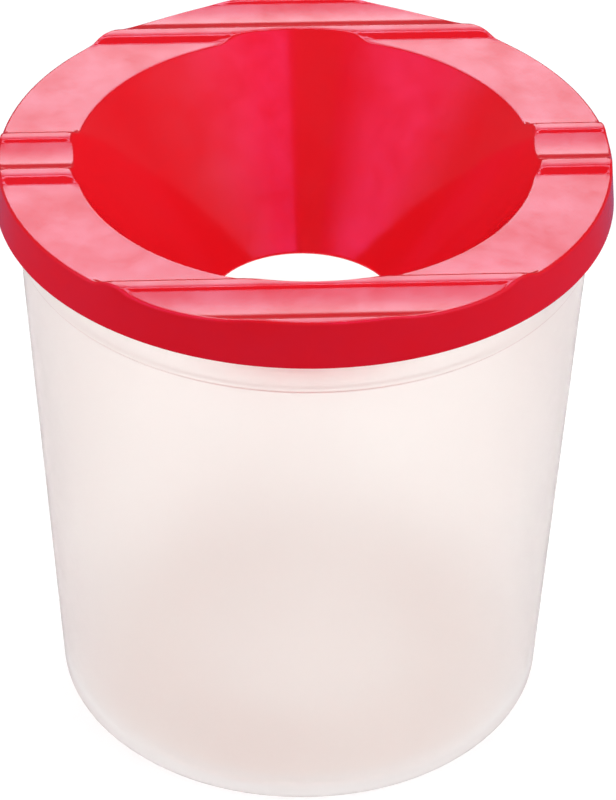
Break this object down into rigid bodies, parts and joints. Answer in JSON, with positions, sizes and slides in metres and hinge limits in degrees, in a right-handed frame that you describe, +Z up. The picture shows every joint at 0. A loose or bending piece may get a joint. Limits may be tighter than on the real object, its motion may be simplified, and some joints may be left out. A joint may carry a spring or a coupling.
{
  "type": "brush washer with lid",
  "caption": "Spill-resistant brush washer: a tapered translucent cup with a press-on lid that carries a funnel and brush rests around its rim.",
  "frame": {"origin": "centre of the cup's foot, on the surface that it stands on", "axes": "+Z up along the cup's axis, +X along the two side brush rests, -Y towards the viewer of the picture, where one of the two long brush rests lies"},
  "size_m": [0.081, 0.081, 0.0838],
  "materials": {
    "cup_plastic": "natural polypropylene, translucent and milky, with a soft sheen",
    "lid_plastic": "opaque red polypropylene, glossy"
  },
  "bodies": {
    "cup_body": {"cup": "cup_plastic"},
    "lid_body": {"lid": "lid_plastic"}
  },
  "joints": [
    {"name": "lid_lift", "type": "slide", "parent": "cup_body", "child": "lid_body", "axis": [0, 0, 1], "range_m": [0, 0.035]}
  ]
}
